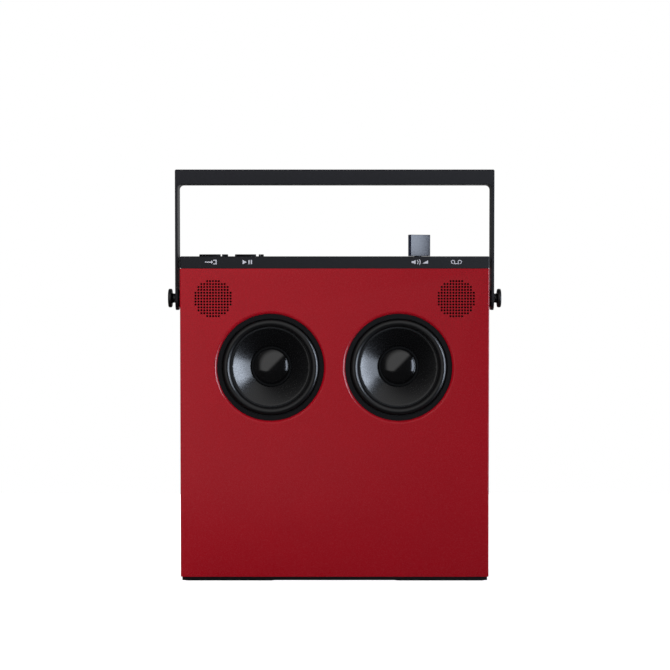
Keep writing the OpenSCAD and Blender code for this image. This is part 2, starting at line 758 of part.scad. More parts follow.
module woofer_gasket_left() woofer_gasket(-1);
module woofer_gasket_right() woofer_gasket(1);

module woofer_top_plates() color("silver") for (side = [-1, 1]) into_cabinet(side * woofer_x, woofer_z)
    ring(plate_r, coil_gap_r, basket_back, basket_back + plate_t);

module woofer_magnet(side) color("#3b3b3d") into_cabinet(side * woofer_x, woofer_z)
    ring(magnet_r, coil_gap_r + 2.5, basket_back + plate_t, basket_back + plate_t + magnet_t);

module woofer_magnet_left() woofer_magnet(-1);
module woofer_magnet_right() woofer_magnet(1);

module woofer_yokes() color("silver") for (side = [-1, 1]) into_cabinet(side * woofer_x, woofer_z) {
    rod(magnet_r - 2, woofer_back - plate_t, woofer_back);
    rod(pole_r, basket_back - 0.5, woofer_back - plate_t + cut);
}

// The cone: a flat rim, a wall that curves in towards a short neck round the voice coil.
module woofer_cone(side) color("#141416") into_cabinet(side * woofer_x, woofer_z) rotate_extrude() {
    translate([rim_in_r, rim_front]) square([1.3, rim_t]);
    translate([neck_in_r, cone_back]) square([1.2, neck_l_cone]);
    intersection() {
        translate([cone_centre_r, cone_centre_depth]) difference() {
            circle(cone_curve_r, $fn = 256);
            circle(cone_curve_r - cone_t, $fn = 256);
        }
        translate([neck_in_r, rim_front]) square([rim_in_r + cone_t - neck_in_r, cone_depth + cone_t]);
    }
}

module woofer_cone_left() woofer_cone(-1);
module woofer_cone_right() woofer_cone(1);

// The dust cap: a thin spherical shell glued over the cone's neck.
module dust_cap(side) color("#101012") into_cabinet(side * woofer_x, woofer_z) rotate_extrude() {
    ball_r = (cap_r * cap_r + cap_rise * cap_rise) / (2 * cap_rise);
    apex = cap_depth - cap_rise;
    intersection() {
        difference() {
            translate([0, apex + ball_r]) circle(ball_r, $fn = 128);
            translate([0, apex + ball_r]) circle(ball_r - cap_t, $fn = 128);
        }
        translate([0, apex - cut]) square([cap_r + cut, cap_rise + cut - 0.05]);
    }
}

module dust_cap_left() dust_cap(-1);
module dust_cap_right() dust_cap(1);

module voice_coil(side) color("peru") into_cabinet(side * woofer_x, woofer_z) {
    former_out = former_r + former_t;
    ring(former_out, former_r, cone_back + 0.1, basket_back + plate_t + 3);
    ring(former_out + winding_t, former_out - 0.1, basket_back - 1, basket_back + plate_t + 1.6);
}

module voice_coil_left() voice_coil(-1);
module voice_coil_right() voice_coil(1);

// The surround: a half-round rubber roll between two flat lips.
module woofer_surround(side) color("#1d1d20") into_cabinet(side * woofer_x, woofer_z) rotate_extrude() {
    lip_back = lip_front + lip_t;
    difference() {
        translate([roll_mid_r, lip_back]) circle(roll_w);
        translate([roll_mid_r, lip_back]) circle(roll_w - roll_t);
        translate([roll_mid_r - 2 * roll_w, lip_back]) square(4 * roll_w);
    }
    translate([roll_r - roll_t, lip_front]) square([flange_r - 0.4 - roll_r + roll_t, lip_t]);
    translate([rim_in_r + 0.1, lip_front]) square([roll_mid_r - roll_w + roll_t - rim_in_r - 0.1, lip_t]);
}

module woofer_surround_left() woofer_surround(-1);
module woofer_surround_right() woofer_surround(1);

// The spider: a thin corrugated ring that centres the voice coil.
module woofer_spider(side) color("#b58a4a") into_cabinet(side * woofer_x, woofer_z) rotate_extrude() {
    r_in = former_r + former_t + run_gap;
    r_out = basket_neck_r - basket_t - 0.2;
    waves = 3;
    steps = 24;
    sheet_t = 0.45;
    front = shelf_depth - sheet_t - run_gap;
    line = [for (k = [0:steps]) [r_in + (r_out - r_in) * k / steps, 0.3 * (cos(360 * waves * k / steps) - 1)]];
    polygon(concat(
        [for (k = [0:steps]) [line[k][0], front + line[k][1]]],
        [for (k = [steps:-1:0]) [line[k][0], front + sheet_t + line[k][1]]]
    ));
}

module woofer_spider_left() woofer_spider(-1);
module woofer_spider_right() woofer_spider(1);

// ---------------------------------------------------------------- tweeters

module tweeter_frame(side) color("#202024") into_cabinet(side * outer_x, tweeter_z) rotate_extrude() {
    throat_r = dome_r + 1.2;
    polygon([
        [throat_r + 2, mesh_back], [tweeter_r, mesh_back], [tweeter_r, tweeter_seat],
        [tweeter_body_r, tweeter_seat], [tweeter_body_r, tweeter_back], [dome_r - 0.4, tweeter_back],
        [dome_r - 0.4, dome_base + dome_t], [throat_r, dome_base + dome_t], [throat_r, mesh_back + 1.4]
    ]);
}

module tweeter_frame_left() tweeter_frame(-1);
module tweeter_frame_right() tweeter_frame(1);

module tweeter_dome(side) color("silver") into_cabinet(side * outer_x, tweeter_z) rotate_extrude() {
    ball_r = (dome_r * dome_r + dome_rise * dome_rise) / (2 * dome_rise);
    intersection() {
        difference() {
            translate([0, dome_base - dome_rise + ball_r]) circle(ball_r, $fn = 128);
            translate([0, dome_base - dome_rise + ball_r]) circle(ball_r - dome_t, $fn = 128);
        }
        translate([0, dome_base - dome_rise - cut]) square([dome_r, dome_rise + cut + 0.01]);
    }
    translate([dome_r - 0.6, dome_base]) square([1.6, dome_t]);
}

module tweeter_dome_left() tweeter_dome(-1);
module tweeter_dome_right() tweeter_dome(1);

module tweeter_magnets() color("#3b3b3d") for (side = [-1, 1]) into_cabinet(side * outer_x, tweeter_z)
    rod(tweeter_body_r - 0.7, tweeter_back, tweeter_back + tweeter_magnet_t);

module grille_meshes() color("#0c0c0e") for (side = [-1, 1]) into_cabinet(side * outer_x, tweeter_z)
    rod(tweeter_r, panel_t, mesh_back);

// ---------------------------------------------------------------- control deck

module top_cap() color("#26252b") difference() {
    intersection() {
        translate([0, 0, deck_z]) linear_extrude(deck_h) plan(front_y, back_y, edge_r, edge_r);
        through_depth(front_y - cut, back_y + cut) deck_outline(body_w);
        across_width(-body_w / 2 - cut, body_w / 2 + cut) deck_outline(body_d);
    }
    difference() {
        translate([-body_w / 2 - cut, front_y - cut, deck_z - cut])
            cube([body_w + 2 * cut, body_d + 2 * cut, cut + seam_h]);
        translate([-body_w / 2 + seam_d, front_y + seam_d, deck_z - 2 * cut])
            cube([body_w - 2 * seam_d, body_d - 2 * seam_d, deck_h]);
    }
    difference() {
        translate([-body_w / 2 + deck_wall, front_y + deck_wall, deck_z - cut])
            cube([body_w - 2 * deck_wall, body_d - 2 * deck_wall, deck_under_z - deck_z + cut]);
        for (p = deck_screws_at) translate([p[0], p[1]]) rod(deck_post_r, deck_z, deck_under_z + cut);
        translate([outer_x, 0]) rod(reel_d / 2 + 2.3, reel_boss_z, deck_under_z + cut);
    }
    for (p = deck_screws_at) translate([p[0], p[1]]) rod(pilot_r, deck_z - cut, deck_under_z - 0.4);
    for (x = key_x) translate([x, 0]) rod(key_hole_r, deck_under_z - cut, top_z + cut);
    translate([inner_x, 0]) rod(knob_shaft_d / 2 + fit_gap, deck_under_z - cut, top_z + cut);
    translate([outer_x, 0]) {
        rod(reel_d / 2 + fit_gap, reel_recess_z, top_z + cut);
        rod(reel_shaft_d / 2 + fit_gap, reel_boss_z - cut, top_z);
    }
}

// Elevation of the deck, w wide, with softened top corners.
module deck_outline(w) translate([0, deck_z]) {
    translate([-w / 2, 0]) square([w, deck_h - deck_edge_r]);
    translate([-w / 2 + deck_edge_r, 0]) square([w - 2 * deck_edge_r, deck_h]);
    for (i = [-1, 1]) translate([i * (w / 2 - deck_edge_r), deck_h - deck_edge_r]) circle(deck_edge_r);
}

// A key: a round button over a hidden flange, marked by grooves from front to back.
// Each groove is [start, width], counted from the key's middle.
module key(x, grooves) translate([x, 0]) difference() {
    union() {
        rod(key_d / 2, deck_under_z - run_gap - cut / 2, key_top_z - 0.3);
        translate([0, 0, key_top_z - 0.3]) cylinder(h = 0.3, r1 = key_d / 2, r2 = key_d / 2 - 0.3);
        rod(key_flange_r, deck_under_z - run_gap - key_flange_t, deck_under_z - run_gap);
    }
    for (g = grooves) translate([g[0], -key_d, top_z + 0.05]) cube([g[1], 2 * key_d, key_proud + cut]);
}

module input_key() color("#1f1e23") key(key_x[0], [[groove_start, input_groove]]);

module play_key() color("#1f1e23") key(key_x[1], [
    [groove_start, play_groove],
    [groove_start + play_groove + 0.5, 0.6]
]);

// A rubber dome under a key, standing on the control board.
module key_dome(x) translate([x, 0]) {
    top = deck_under_z - run_gap - key_flange_t - run_gap;
    ring(5.5, 4, deck_board_z, deck_board_z + 0.6);
    translate([0, 0, deck_board_z + 0.5]) difference() {
        cylinder(h = top - deck_board_z - 0.5, r1 = 4.6, r2 = 2.6);
        translate([0, 0, -0.5]) cylinder(h = top - deck_board_z - 0.7, r1 = 4.2, r2 = 2);
    }
}

module input_dome() color("#6d6d72") key_dome(key_x[0]);
module play_dome() color("#6d6d72") key_dome(key_x[1]);

module control_board() color("darkgreen") difference() {
    union() {
        translate([0, 0, deck_z]) linear_extrude(deck_board_t)
            round_rect(body_w - 2 * deck_wall - 2 * deck_gap, body_d - 2 * deck_wall - 2 * deck_gap, 3);
        chip([0, 0, deck_board_z], [12, 12, chip_h]);
        for (k = [0:2]) chip([inner_x - 18 - 6 * k, 8, deck_board_z], [4, 6, chip_h * 0.8]);
    }
    for (p = deck_screws_at) translate([p[0], p[1]]) rod(deck_post_r + fit_gap, deck_z - cut, top_z);
    for (x = [inner_x, outer_x]) translate([x, 0]) rod(nose_r + fit_gap, deck_z - cut, top_z);
}

// A chip of the given size, its foot sunk a little into the board at a place.
module chip(place, size) translate([place[0] - size[0] / 2, place[1] - size[1] / 2, place[2] - 0.2])
    cube([size[0], size[1], size[2] + 0.2]);

// A small motor hung under the cabinet's top, with a bore for the control's shaft.
module motor(x, height, shaft_d) translate([x, 0]) difference() {
    union() {
        rod(motor_d / 2, ceiling_z - height, ceiling_z);
        rod(nose_r, ceiling_z - cut, deck_board_z + 0.3);
    }
    rod(shaft_d / 2 + run_gap, shaft_bottom_z - 1, deck_under_z);
}

module volume_motor() color("#8a8a90") motor(inner_x, volume_motor_h, knob_shaft_d);
module reel_motor() color("#8a8a90") motor(outer_x, reel_motor_h, reel_shaft_d);

module volume_shaft() color("silver")
    translate([inner_x, 0]) rod(knob_shaft_d / 2, shaft_bottom_z, knob_shaft_top_z);
module reel_shaft() color("silver") translate([outer_x, 0]) rod(reel_shaft_d / 2, shaft_bottom_z, top_z - 1);

// The volume knob: half a cylinder, standing on its shaft with the flat to one side.
module volume_knob() color("#1c1c20") translate([inner_x, 0, knob_base_z]) rotate(knob_turn) difference() {
    linear_extrude(top_z + knob_h - knob_base_z) intersection() {
        translate([0, -knob_offset]) circle(knob_r);
        translate([-knob_r - cut, -knob_offset]) square([2 * (knob_r + cut), knob_r + cut]);
    }
    rod(knob_shaft_d / 2 + 0.02, -cut, knob_shaft_top_z - knob_base_z + 0.1);
}

// The reel disc: flush with the deck, with a finger dimple near its edge.
module reel_disc() color("#232226") translate([outer_x, 0]) difference() {
    rod(reel_d / 2, top_z - reel_t, top_z);
    translate([reel_d / 2 - 5.4, 0, top_z + 4]) sphere(6);
    rod(reel_shaft_d / 2 + 0.02, top_z - reel_t - cut, top_z - 0.9);
}

// ---------------------------------------------------------------- inside

module main_board() color("darkgreen") difference() {
    union() {
        translate([board_x - board_w / 2, board_y - board_d / 2, board_z]) cube([board_w, board_d, board_t]);
        chip([board_x - 0.05 * board_w, board_y, board_top_z], [processor_w, processor_w, chip_h]);
        chip([amplifier_x, board_y, board_top_z], [amplifier_w, amplifier_w - 4, chip_h]);
        for (k = [0:2]) translate([board_x - 0.4 * board_w + 7.5 * k, board_y - 0.25 * board_d])
            rod(3, board_z + 0.5, board_top_z + 9);
    }
    for (p = board_screws_at) translate([p[0], p[1]]) rod(clear_r, board_z - cut, board_top_z + cut);
}

// Heat sink of the amplifier: a slab with upright fins.
module heat_sink() color("#9a9aa0") translate([amplifier_x, board_y, board_top_z + chip_h]) {
    w = amplifier_w + 2;
    slab_t = 2;
    fin_t = 1;
    translate([-w / 2, -amplifier_w / 2, 0]) cube([w, amplifier_w, slab_t]);
    for (k = [0:fin_count - 1])
        translate([-w / 2 + k * (w - fin_t) / (fin_count - 1), -amplifier_w / 2, slab_t / 2])
        cube([fin_t, amplifier_w, fin_h + slab_t / 2]);
}

// The battery's cradle: two end blocks with a pocket for each cell, on a common base.
module battery_cradle() color("#33333a") translate([cradle_x, cradle_y, floor_z]) difference() {
    end_t = cradle_wall + pocket_depth;
    union() {
        translate([-cradle_w / 2, -cradle_d / 2, 0]) cube([cradle_w, cradle_d, cradle_wall]);
        for (side = [0, 1]) mirror([side, 0])
            translate([-cradle_w / 2, -cradle_d / 2, 0]) cube([end_t, cradle_d, cradle_h]);
    }
    cells() rod(cell_d / 2 + fit_gap, -cell_l / 2 - run_gap, cell_l / 2 + terminal + run_gap);
}

// Places for the cells, lying one above the other with their axes along the width.
module cells() for (k = [0:cell_count - 1])
    translate([-terminal / 2, 0, cradle_wall + (k + 0.5) * cell_pitch]) rotate([0, 90, 0]) children();

module battery_cells() color("#3f7f6a") translate([cradle_x, cradle_y, floor_z]) cells() {
    rod(cell_d / 2, -cell_l / 2, cell_l / 2);
    rod(cell_d / 6, cell_l / 2 - cut, cell_l / 2 + terminal);
}

// ---------------------------------------------------------------- screws

module rear_screws() color("silver") for (p = cover_screws)
    translate([p[0], back_y - screw_head_h - 0.1, cavity_mid_z + p[1]])
        rotate([-90, 0, 0]) screw(cover_screw_l);

module woofer_screws() color("silver") for (side = [-1, 1]) into_cabinet(side * woofer_x, woofer_z)
    ears() translate([0, 0, flange_front]) mirror([0, 0, 1]) screw(woofer_screw_l);

module deck_screws() color("silver") for (p = deck_screws_at)
    translate([p[0], p[1], ceiling_z]) mirror([0, 0, 1]) screw(deck_screw_l);

module board_screws() color("silver") for (p = board_screws_at)
    translate([p[0], p[1], board_top_z]) screw(board_screw_l);

// ---------------------------------------------------------------- nodes

front_panel();
cabinet_shell();
top_cap();
rear_cover();
rear_seal();
base_plate();
feet();
port_tube();
connector_plate();
usb_socket();
audio_jack();
pivot_stud_left();
pivot_stud_right();
pivot_washers();
pivot_inserts();
woofer_basket_left();
woofer_basket_right();
woofer_gasket_left();
woofer_gasket_right();
woofer_magnet_left();
woofer_magnet_right();
woofer_top_plates();
woofer_yokes();
woofer_cone_left();
woofer_cone_right();
dust_cap_left();
dust_cap_right();
voice_coil_left();
voice_coil_right();
woofer_surround_left();
woofer_surround_right();
woofer_spider_left();
woofer_spider_right();
tweeter_frame_left();
tweeter_frame_right();
tweeter_dome_left();
tweeter_dome_right();
tweeter_magnets();
grille_meshes();
main_board();
heat_sink();
control_board();
battery_cells();
battery_cradle();
volume_motor();
reel_motor();
input_dome();
play_dome();
rear_screws();
woofer_screws();
deck_screws();
board_screws();
handle();
input_key();
play_key();
volume_knob();
volume_shaft();
reel_disc();
reel_shaft();
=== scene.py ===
"""Looks for a portable stereo player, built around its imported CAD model.

Metres, in the model's frame: X to the viewer's right, -Y to the front, Z up.
"""

import json
import math

import bmesh
import bpy
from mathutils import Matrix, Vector, kdtree


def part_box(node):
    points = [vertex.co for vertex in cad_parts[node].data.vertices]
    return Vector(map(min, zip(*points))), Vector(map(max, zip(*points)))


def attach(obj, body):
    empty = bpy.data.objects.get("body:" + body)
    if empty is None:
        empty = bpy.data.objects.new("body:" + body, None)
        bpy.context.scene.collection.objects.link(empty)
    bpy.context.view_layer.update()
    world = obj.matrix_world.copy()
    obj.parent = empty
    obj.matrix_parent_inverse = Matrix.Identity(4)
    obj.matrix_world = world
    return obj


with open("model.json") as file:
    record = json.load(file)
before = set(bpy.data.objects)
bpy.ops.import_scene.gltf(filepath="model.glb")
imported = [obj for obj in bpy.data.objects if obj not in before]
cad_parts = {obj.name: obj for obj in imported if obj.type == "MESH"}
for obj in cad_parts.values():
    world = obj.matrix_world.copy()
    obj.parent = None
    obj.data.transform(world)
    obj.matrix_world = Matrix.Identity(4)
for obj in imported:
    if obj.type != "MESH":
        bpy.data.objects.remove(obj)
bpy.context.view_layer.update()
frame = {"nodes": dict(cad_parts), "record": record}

MM = 0.001
SIDES = ("left", "right")


def middle(name):
    """The middle of a node's box."""
    low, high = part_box(name)
    return (low + high) / 2


# ------------------------------------------------------------------ shader nodes


def srgb(r, g, b):
    """A linear colour from 0-255 screen values."""

    def linear(v):
        v /= 255
        return v / 12.92 if v <= 0.04045 else ((v + 0.055) / 1.055) ** 2.4

    return (linear(r), linear(g), linear(b), 1.0)


def shade(colour, k):
    """A colour made k times as light."""
    return (colour[0] * k, colour[1] * k, colour[2] * k, 1.0)


def new_material(name):
    """A material, its node tree and shader, and the point in the object that is shaded."""
    made = bpy.data.materials.new(name)
    made.use_nodes = True
    tree = made.node_tree
    shader = tree.nodes["Principled BSDF"]
    where = tree.nodes.new("ShaderNodeTexCoord").outputs["Object"]
    return made, tree, shader, where


def noise(tree, where, per_metre, detail, stretch=None):
    """Noise with about per_metre features in a metre, stretched along the axes if asked."""
    if stretch:
        mapping = tree.nodes.new("ShaderNodeMapping")
        mapping.inputs["Scale"].default_value = stretch
        tree.links.new(where, mapping.inputs["Vector"])
        where = mapping.outputs["Vector"]
    node = tree.nodes.new("ShaderNodeTexNoise")
    node.inputs["Scale"].default_value = per_metre
    node.inputs["Detail"].default_value = detail
    tree.links.new(where, node.inputs["Vector"])
    return node.outputs["Fac"]


def waves(tree, where, direction, pitch, distortion=0.0):
    """Even waves along an axis, pitch metres apart."""
    node = tree.nodes.new("ShaderNodeTexWave")
    node.bands_direction = direction
    # At scale 1 the node makes 20 waves in tau metres
    node.inputs["Scale"].default_value = math.tau / pitch / 20
    node.inputs["Distortion"].default_value = distortion
    tree.links.new(where, node.inputs["Vector"])
    return node.outputs["Fac"]


def ramp(tree, value, start, end, low, high):
    """low up to start, high from end on, and a straight line between them."""
    node = tree.nodes.new("ShaderNodeMapRange")
    node.inputs["From Min"].default_value = start
    node.inputs["From Max"].default_value = end
    node.inputs["To Min"].default_value = low
    node.inputs["To Max"].default_value = high
    tree.links.new(value, node.inputs["Value"])
    return node.outputs["Result"]


def spread(tree, factor, low, high):
    """Maps the middle of a noise, where most of it lies, onto low to high."""
    return ramp(tree, factor, 0.3, 0.7, low, high)


def maths(tree, operation, first, second):
    """A Math node on two inputs, each a socket or a number."""
    node = tree.nodes.new("ShaderNodeMath")
    node.operation = operation
    for k, value in enumerate((first, second)):
        if isinstance(value, (int, float)):
            node.inputs[k].default_value = value
        else:
            tree.links.new(value, node.inputs[k])
    return node.outputs["Value"]


def tint(tree, factor, first, second):
    """Blends two colours by a factor."""
    node = tree.nodes.new("ShaderNodeMix")
    node.data_type = "RGBA"
    node.inputs["A"].default_value = first
    node.inputs["B"].default_value = second
    tree.links.new(factor, node.inputs["Factor"])
    return node.outputs["Result"]


def paint(tree, shader, factor, first, second):
    """Gives a shader a colour between two, by a factor."""
    tree.links.new(tint(tree, factor, first, second), shader.inputs["Base Color"])


def bump(tree, shader, height, depth):
    """Gives a shader a fine relief, depth metres deep."""
    node = tree.nodes.new("ShaderNodeBump")
    node.inputs["Distance"].default_value = depth
    tree.links.new(height, node.inputs["Height"])
    tree.links.new(node.outputs["Normal"], shader.inputs["Normal"])


def distance_from_axis(tree, where, centre):
    """How far a point lies from the axis along Y through centre."""
    apart = tree.nodes.new("ShaderNodeVectorMath")
    apart.operation = "SUBTRACT"
    tree.links.new(where, apart.inputs[0])
    apart.inputs[1].default_value = centre
    flat = tree.nodes.new("ShaderNodeVectorMath")
    flat.operation = "MULTIPLY"
    tree.links.new(apart.outputs["Vector"], flat.inputs[0])
    flat.inputs[1].default_value = (1, 0, 1)
    length = tree.nodes.new("ShaderNodeVectorMath")
    length.operation = "LENGTH"
    tree.links.new(flat.outputs["Vector"], length.inputs[0])
    return length.outputs["Value"]


# ------------------------------------------------------------------ materials

PATCHES = 35  # slow changes of colour in a metre
COARSE = 0.03 * MM  # depth of the grain on moulded parts


def surface(
    name,
    colour,
    rough,
    metal=0.0,
    specular=0.5,
    grain=6000,
    grain_depth=0.01 * MM,
    vary=0.06,
    rough_vary=0.04,
    stretch=None,
):
    """A moulded, painted or metal surface, its colour uneven, with a fine grain."""
    made, tree, shader, where = new_material(name)
    slow = spread(tree, noise(tree, where, PATCHES, detail=4), 0.0, 1.0)
    paint(tree, shader, slow, shade(colour, 1 - vary), shade(colour, 1 + vary))
    fine = noise(tree, where, grain, detail=2, stretch=stretch)
    gloss = spread(tree, fine, rough - rough_vary, rough + rough_vary)
    tree.links.new(gloss, shader.inputs["Roughness"])
    shader.inputs["Metallic"].default_value = metal
    shader.inputs["Specular IOR Level"].default_value = specular
    bump(tree, shader, fine, grain_depth)
    return made


def woven(name, colour, pitch):
    """Cloth of crossing threads, pitch metres apart, with painted shade in the hollows between them
    and painted light where they cross.
    """
    made, tree, shader, where = new_material(name)
    warp, weft = (waves(tree, where, axis, pitch, distortion=0.3) for axis in "XZ")
    threads = maths(tree, "MULTIPLY", warp, weft)
    # Painted shade and light on the weave: darker in the hollows between the threads, lighter on
    # their crossings
    paint(tree, shader, threads, shade(colour, 0.5), shade(colour, 1.3))
    shader.inputs["Roughness"].default_value = 0.85
    bump(tree, shader, threads, 0.05 * MM)
    return made


def coil_wire(name, colour, pitch):
    """Fine wire wound round the Y axis, pitch metres from turn to turn, with painted shade in the
    grooves between the turns.
    """
    made, tree, shader, where = new_material(name)
    turns = waves(tree, where, "Y", pitch)
    # Painted shade: the copper darkens to 0.45 of its colour in the grooves between the turns
    paint(tree, shader, turns, shade(colour, 0.45), colour)
    shader.inputs["Metallic"].default_value = 0.8
    shader.inputs["Roughness"].default_value = 0.35
    bump(tree, shader, turns, 0.04 * MM)
    return made


def board_green(name):
    """Solder mask with faint copper tracks under it."""
    made, tree, shader, where = new_material(name)
    cells = tree.nodes.new("ShaderNodeTexVoronoi")
    cells.distance = "MANHATTAN"
    cells.feature = "DISTANCE_TO_EDGE"
    cells.inputs["Scale"].default_value = 260
    tree.links.new(where, cells.inputs["Vector"])
    tracks = maths(tree, "LESS_THAN", cells.outputs["Distance"], 0.06)
    paint(tree, shader, tracks, srgb(16, 62, 36), srgb(38, 98, 56))
    shader.inputs["Roughness"].default_value = 0.35
    bump(tree, shader, tracks, 0.03 * MM)
    return made


# By the material slots of the CAD nodes
MATERIALS = {
    "red_shell": surface(
        "red_lacquer",
        srgb(137, 2, 18),
        0.26,
        specular=0.27,
        grain=3500,
        grain_depth=0.0012 * MM,
        vary=0.02,
    ),
    "black_deck": surface("deck_black", srgb(14, 14, 18), 0.5, specular=0.22, grain=5000),
    "black_plastic": surface(
        "moulded_black", srgb(20, 20, 22), 0.55, specular=0.3, grain=2500, grain_depth=COARSE
    ),
    "grey_plastic": surface(
        "moulded_grey", srgb(52, 52, 56), 0.5, specular=0.4, grain=2500, grain_depth=COARSE
    ),
    "black_rubber": surface("black_rubber", srgb(13, 12, 14), 0.6, specular=0.2, grain=1800),
    "grey_rubber": surface("silicone", srgb(118, 118, 122), 0.5, specular=0.4),
    "black_handle": surface("handle_black", srgb(14, 14, 19), 0.45, specular=0.25, grain=9000),
    "black_stud": surface("stud_black", srgb(10, 10, 12), 0.35, specular=0.35, grain=9000),
    "black_metal": surface(
        "basket_black", srgb(32, 32, 34), 0.4, specular=0.5, grain=1500, grain_depth=0.02 * MM
    ),
    "black_screw": surface("screw_black", srgb(34, 34, 36), 0.35, specular=0.6),
    "black_cone": surface(
        "cone_black", srgb(4, 4, 5), 0.26, specular=0.39, grain=900, grain_depth=0.0008 * MM
    ),
    "dark_knob": surface("knob_satin", srgb(14, 20, 42), 0.24, specular=0.7, grain=9000),
    "steel": surface("plated_steel", srgb(185, 185, 188), 0.3, metal=1.0, grain=4000),
    "ferrite": surface(
        "ferrite", srgb(58, 58, 60), 0.7, grain=2000, grain_depth=0.05 * MM, vary=0.15
    ),
    "copper": coil_wire("copper_wire", srgb(184, 112, 60), 1.571 * MM),
    "brass": surface("turned_brass", srgb(196, 154, 82), 0.3, metal=1.0, grain=4000),
    "bare_aluminium": surface(
        "extruded_aluminium", srgb(182, 184, 188), 0.35, metal=1.0, stretch=(40, 1, 1)
    ),
    "spider_cloth": woven("spider_cloth", srgb(150, 116, 66), 3.77 * MM),
    "dome_cloth": surface("dome_silk", srgb(34, 34, 36), 0.4, specular=0.5),
    "mesh_cloth": woven("grille_mesh", srgb(16, 16, 18), 2.513 * MM),
    "circuit_board": board_green("solder_mask"),
    "cell_sleeve": surface("cell_sleeve", srgb(58, 116, 104), 0.3, grain=500),
}
INK = surface("white_ink", srgb(178, 178, 186), 0.6, specular=0.3, grain=9000, vary=0.02)
GASKET = surface(
    "gasket_foam", srgb(10, 9, 10), 0.7, specular=0.1, grain=1800, grain_depth=0.02 * MM
)
CAP = surface(
    "cap_gloss",
    srgb(6, 6, 7),
    0.12,
    specular=0.6,
    grain=700,
    grain_depth=0.001 * MM,
    rough_vary=0.02,
)
GLUE = surface("glue_black", srgb(4, 4, 4), 0.8, specular=0.1, grain=1200, grain_depth=0.05 * MM)
BASE = surface("base_black", srgb(9, 9, 10), 0.6, specular=0.12, grain=2500, grain_depth=COARSE)
KEY = surface("key_black", srgb(9, 9, 11), 0.5, specular=0.15, grain=5000)

# Nodes that look other than their slot
OWN_LOOKS = {
    "base_plate": BASE,
    "feet": BASE,
    "input_key": KEY,
    "play_key": KEY,
    "reel_disc": KEY,
    "woofer_gasket_left": GASKET,
    "woofer_gasket_right": GASKET,
    "dust_cap_left": CAP,
    "dust_cap_right": CAP,
}

# From the surround's edge to the two feet of its roll
ROLL_IN = 11.1 * MM
ROLL_OUT = 5.3 * MM
LIP_FADE = 0.3 * MM  # from the roll's gloss to a matt lip


def roll_rubber(node):
    """Black rubber with a gloss on the roll and matt lips, where it is glued down."""
    low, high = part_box(node)
    outer = (high.x - low.x) / 2
    made, tree, shader, where = new_material(f"rubber_{node}")
    radius = distance_from_axis(tree, where, middle(node))
    inner_lip = ramp(tree, radius, outer - ROLL_IN - LIP_FADE, outer - ROLL_IN, 1.0, 0.0)
    outer_lip = ramp(tree, radius, outer - ROLL_OUT, outer - ROLL_OUT + LIP_FADE, 0.0, 1.0)
    lips = maths(tree, "MAXIMUM", inner_lip, outer_lip)
    tree.links.new(ramp(tree, lips, 0.0, 1.0, 0.28, 0.9), shader.inputs["Roughness"])
    fine = noise(tree, where, 1800, detail=2)
    paint(tree, shader, spread(tree, fine, 0.0, 1.0), srgb(7, 7, 8), srgb(10, 10, 11))
    shader.inputs["Specular IOR Level"].default_value = 0.33
    bump(tree, shader, fine, 0.003 * MM)
    return made


# ------------------------------------------------------------------ edges

CORNER = math.radians(30)  # between two faces that meet in a visible corner
FLAT = math.radians(0.5)  # between two triangles of one flat face
WELD = 0.001 * MM  # between two points that are one
SAME_SPOT = 0.002 * MM  # the same, where the two faces at an edge are looked for
HANDLE_ROUND = 0.25 * MM  # radius of the handle's edges
GRIP_ROUND = 0.9 * MM  # the same along the grip's lower edges
GRIP_ZONE = 14 * MM  # depth below the handle's top in which those edges lie
KNOB_ROUND = 0.3 * MM
DISC_ROUND = 0.15 * MM  # on the keys and the reel disc
RIM_R = 37.6 * MM  # the front panel's openings, at its face
RIM_BAND = 0.1 * MM  # how far a point of a rim may be from that radius
RIM_ROUND = 1.2 * MM  # where the panel is drawn in at them


def split_corners(node):
    """Keeps smooth shading from running over the corners."""
    split = node.modifiers.new("corners", "EDGE_SPLIT")
    split.split_angle = CORNER


def smooth(node):
    """Smooth shading on curves, with a crisp line at every corner."""
    for name in ("custom_normal", "sharp_face", "sharp_edge"):
        if name in node.data.attributes:
            node.data.attributes.remove(node.data.attributes[name])
    node.data.shade_smooth()
    weld = node.modifiers.new("weld", "WELD")
    weld.merge_threshold = WELD
    split_corners(node)


def bevel_marked(node, width, segments):
    """Rounds the edges that carry a bevel weight, on faces freed of their flat triangles."""
    node.modifiers.remove(node.modifiers["corners"])
    flat = node.modifiers.new("flats", "DECIMATE")
    flat.decimate_type = "DISSOLVE"
    flat.angle_limit = FLAT
    bevel = node.modifiers.new("edges", "BEVEL")
    bevel.width = width
    bevel.segments = segments
    bevel.limit_method = "WEIGHT"
    bevel.harden_normals = True
    return bevel


def round_edges(node, width, fat_width=0.0, fat_from=math.inf, fat_to=math.inf):
    """Rounds a node's corners by width, and by fat_width at heights between fat_from and fat_to."""
    mesh = node.data
    near = kdtree.KDTree(len(mesh.vertices))
    for vertex in mesh.vertices:
        near.insert(vertex.co, vertex.index)
    near.balance()
    spot = [min(k for _, k, _ in near.find_range(v.co, SAME_SPOT)) for v in mesh.vertices]
    normals = {}
    for face in mesh.polygons:
        for a, b in face.edge_keys:
            normals.setdefault(frozenset((spot[a], spot[b])), []).append(face.normal.copy())
    widest = max(width, fat_width)
    weights = mesh.attributes.new("bevel_weight_edge", "FLOAT", "EDGE")
    for edge in mesh.edges:
        sides = normals[frozenset(spot[k] for k in edge.vertices)]
        if len(sides) == 2 and sides[0].angle(sides[1], 0.0) > CORNER:
            heights = [mesh.vertices[k].co.z for k in edge.vertices]
            fat = min(heights) > fat_from and max(heights) < fat_to
            weights.data[edge.index].value = (fat_width if fat else width) / widest
    bevel_marked(node, widest, segments=3)


